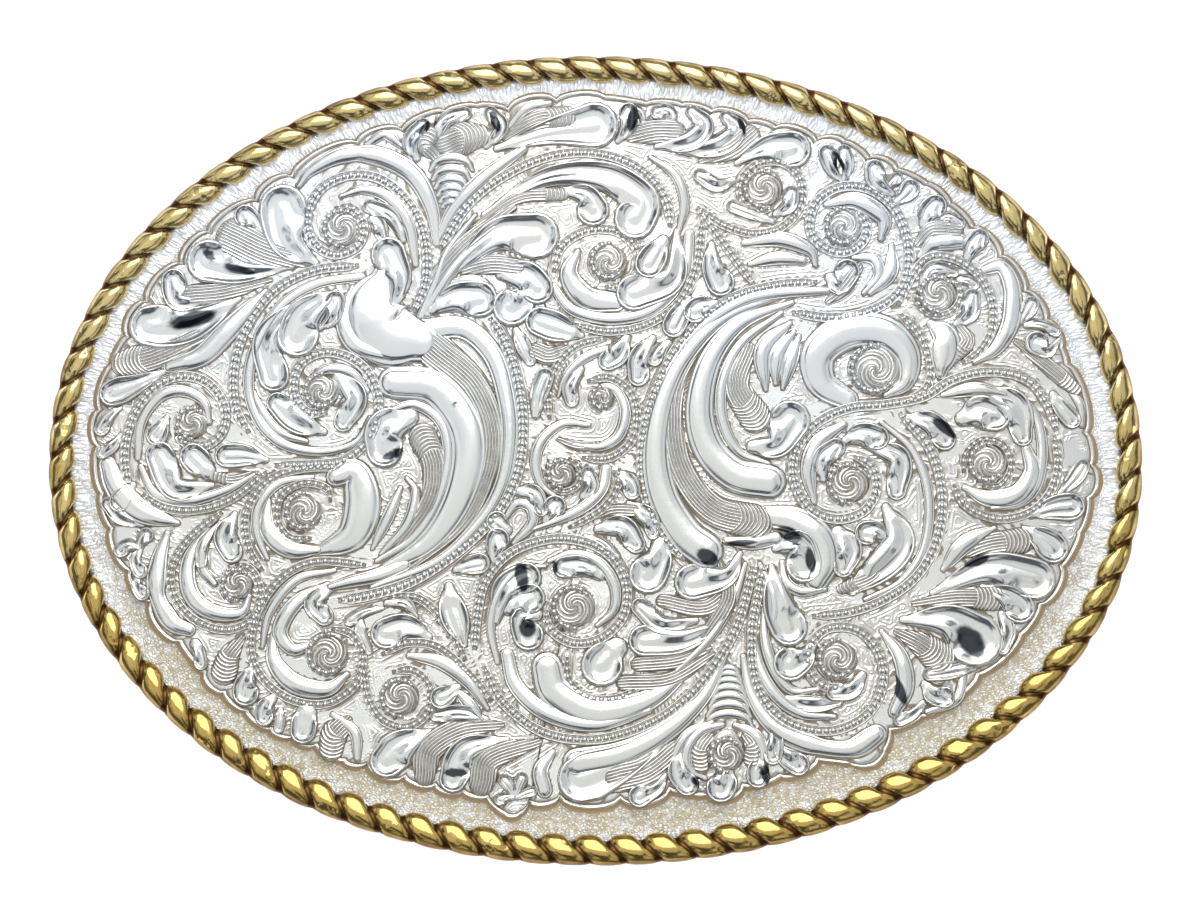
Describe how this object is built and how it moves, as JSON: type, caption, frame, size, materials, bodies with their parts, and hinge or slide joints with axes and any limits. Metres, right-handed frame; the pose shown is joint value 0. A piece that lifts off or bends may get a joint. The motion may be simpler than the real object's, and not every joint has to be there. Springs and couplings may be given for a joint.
{
  "type": "western belt buckle",
  "caption": "Oval western belt buckle with raised scrollwork on a bent plate, a gold twisted rope edge, a wire belt loop and a hook post on the back.",
  "frame": {"origin": "middle of the footprint, on the surface that the buckle lies on, face up", "axes": "+X along the belt to the belt loop's side, +Y up as the face is read, +Z out of the face"},
  "size_m": [0.104, 0.077, 0.0147],
  "materials": {
    "bright_plate": "bright silver plate with dark oxide in the grooves",
    "gold_rope": "gold plate with dark oxide between the strands",
    "plain_wire": "plain plated steel wire",
    "plain_post": "plain plated steel pin"
  },
  "bodies": {
    "root": {"face_plate": "bright_plate", "rope_edge": "gold_rope", "belt_loop": "plain_wire", "hook_post": "plain_post"}
  },
  "joints": []
}
